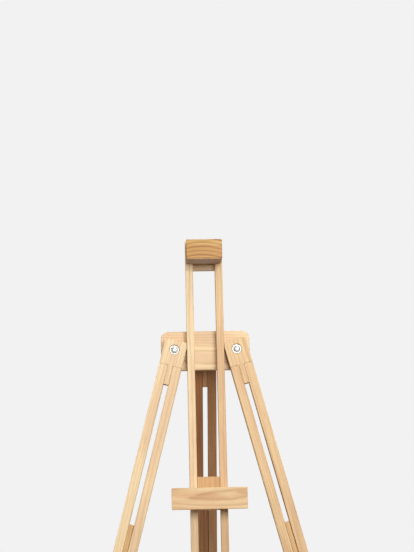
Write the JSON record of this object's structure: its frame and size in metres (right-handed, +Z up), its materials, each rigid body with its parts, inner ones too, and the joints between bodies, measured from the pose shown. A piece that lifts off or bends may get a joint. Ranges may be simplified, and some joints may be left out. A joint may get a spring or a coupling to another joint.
{
  "type": "tripod display easel",
  "caption": "Folding beech tripod easel with a slotted two-rail mast, a sliding picture shelf, a sliding top holder and legs that extend and clamp.",
  "frame": {"origin": "on the floor, under the middle of the easel's footprint with the legs open", "axes": "+Z up; -Y is the side that carries the picture; +X to the right of somebody facing it"},
  "size_m": [0.736, 0.6524, 1.3335],
  "materials": {
    "leg_beech": "oiled",
    "bar_beech": "oiled",
    "shelf_beech": "oiled",
    "golden_beech": "oiled",
    "hardware_steel": "zinc plated",
    "foot_rubber": "matt",
    "pad_leather": "matt"
  },
  "bodies": {
    "mast": {"mast_rail_left": "leg_beech", "mast_rail_right": "leg_beech", "mast_top_block": "leg_beech", "mast_bottom_block": "leg_beech", "mast_block_screws": "hardware_steel", "yoke_board": "leg_beech", "yoke_screws": "hardware_steel", "leg_pivot_bolts": "hardware_steel", "leg_pivot_washers": "hardware_steel", "rear_hinge_bracket": "hardware_steel", "rear_hinge_screws": "hardware_steel", "rear_hinge_bolt": "hardware_steel"},
    "left_pivot_nut": {"left_pivot_wing_nut": "hardware_steel"},
    "right_pivot_nut": {"right_pivot_wing_nut": "hardware_steel"},
    "rear_hinge_nut": {"rear_hinge_wing_nut": "hardware_steel"},
    "left_leg": {"left_leg_head": "leg_beech", "left_leg_outer_strip": "leg_beech", "left_leg_inner_strip": "leg_beech", "left_leg_head_screws": "hardware_steel", "left_leg_band": "hardware_steel", "left_leg_band_screws": "hardware_steel"},
    "left_extension": {"left_extension_bar": "bar_beech", "left_foot": "foot_rubber"},
    "left_clamp_screw": {"left_leg_wing_screw": "hardware_steel"},
    "right_leg": {"right_leg_head": "leg_beech", "right_leg_outer_strip": "leg_beech", "right_leg_inner_strip": "leg_beech", "right_leg_head_screws": "hardware_steel", "right_leg_band": "hardware_steel", "right_leg_band_screws": "hardware_steel"},
    "right_extension": {"right_extension_bar": "bar_beech", "right_foot": "foot_rubber"},
    "right_clamp_screw": {"right_leg_wing_screw": "hardware_steel"},
    "rear_leg": {"rear_leg_head": "leg_beech", "rear_leg_left_strip": "leg_beech", "rear_leg_right_strip": "leg_beech", "rear_leg_head_screws": "hardware_steel", "rear_leg_band": "hardware_steel", "rear_leg_band_screws": "hardware_steel"},
    "rear_extension": {"rear_extension_bar": "bar_beech", "rear_foot": "foot_rubber"},
    "rear_clamp_screw": {"rear_leg_wing_screw": "hardware_steel"},
    "shelf": {"shelf_lip": "shelf_beech", "shelf_tray": "shelf_beech", "shelf_dowels": "leg_beech", "shelf_carrier": "leg_beech", "shelf_guide": "leg_beech", "shelf_screws": "hardware_steel", "shelf_bolt": "hardware_steel", "shelf_clamp_plate": "leg_beech", "shelf_washer": "hardware_steel"},
    "shelf_nut": {"shelf_wing_nut": "hardware_steel"},
    "holder": {"holder_block": "golden_beech", "holder_pad": "pad_leather", "holder_guide": "leg_beech", "holder_stud": "hardware_steel", "holder_clamp_plate": "leg_beech", "holder_washer": "hardware_steel"},
    "holder_nut": {"holder_wing_nut": "hardware_steel"}
  },
  "joints": [
    {"name": "left_leg_splay", "type": "hinge", "parent": "mast", "child": "left_leg", "pos_m": [-0.05745, -0.11628, 1.13002], "axis": [0, -0.9848, 0.1736], "range_deg": [0, 14.7]},
    {"name": "right_leg_splay", "type": "hinge", "parent": "mast", "child": "right_leg", "pos_m": [0.05745, -0.11628, 1.13002], "axis": [0, 0.9848, -0.1736], "range_deg": [0, 14.7]},
    {"name": "rear_leg_fold", "type": "hinge", "parent": "mast", "child": "rear_leg", "pos_m": [0, -0.06881, 1.12165], "axis": [-1, 0, 0], "range_deg": [0, 29.01]},
    {"name": "left_leg_extend", "type": "slide", "parent": "left_leg", "child": "left_extension", "axis": [-0.2538, -0.168, -0.9526], "range_m": [-0.24, 0.4]},
    {"name": "left_clamp_turn", "type": "hinge", "parent": "left_leg", "child": "left_clamp_screw", "pos_m": [-0.30572, -0.26008, 0.3145], "axis": [-0.9673, 0.0441, 0.2499], "continuous": true},
    {"name": "right_leg_extend", "type": "slide", "parent": "right_leg", "child": "right_extension", "axis": [0.2538, -0.168, -0.9526], "range_m": [-0.24, 0.4]},
    {"name": "right_clamp_turn", "type": "hinge", "parent": "right_leg", "child": "right_clamp_screw", "pos_m": [0.30572, -0.26008, 0.3145], "axis": [0.9673, 0.0441, 0.2499], "continuous": true},
    {"name": "rear_leg_extend", "type": "slide", "parent": "rear_leg", "child": "rear_extension", "axis": [0, 0.3258, -0.9454], "range_m": [-0.24, 0.4]},
    {"name": "rear_clamp_turn", "type": "hinge", "parent": "rear_leg", "child": "rear_clamp_screw", "pos_m": [0.03, 0.21269, 0.3048], "axis": [1, 0, 0], "continuous": true},
    {"name": "shelf_slide", "type": "slide", "parent": "mast", "child": "shelf", "axis": [0, 0.1736, 0.9848], "range_m": [-0.3, 0.2]},
    {"name": "holder_slide", "type": "slide", "parent": "mast", "child": "holder", "axis": [0, 0.1736, 0.9848], "range_m": [-0.11, 0]},
    {"name": "left_pivot_nut_turn", "type": "hinge", "parent": "mast", "child": "left_pivot_nut", "pos_m": [-0.05745, -0.08359, 1.12426], "axis": [0, 0.9848, -0.1736], "continuous": true},
    {"name": "right_pivot_nut_turn", "type": "hinge", "parent": "mast", "child": "right_pivot_nut", "pos_m": [0.05745, -0.08359, 1.12426], "axis": [0, 0.9848, -0.1736], "continuous": true},
    {"name": "rear_hinge_nut_turn", "type": "hinge", "parent": "mast", "child": "rear_hinge_nut", "pos_m": [0.0289, -0.06881, 1.12165], "axis": [1, 0, 0], "continuous": true},
    {"name": "shelf_nut_turn", "type": "hinge", "parent": "shelf", "child": "shelf_nut", "pos_m": [0, -0.14052, 0.84744], "axis": [0, 0.9848, -0.1736], "continuous": true},
    {"name": "holder_nut_turn", "type": "hinge", "parent": "holder", "child": "holder_nut", "pos_m": [0, -0.06186, 1.29356], "axis": [0, 0.9848, -0.1736], "continuous": true}
  ]
}
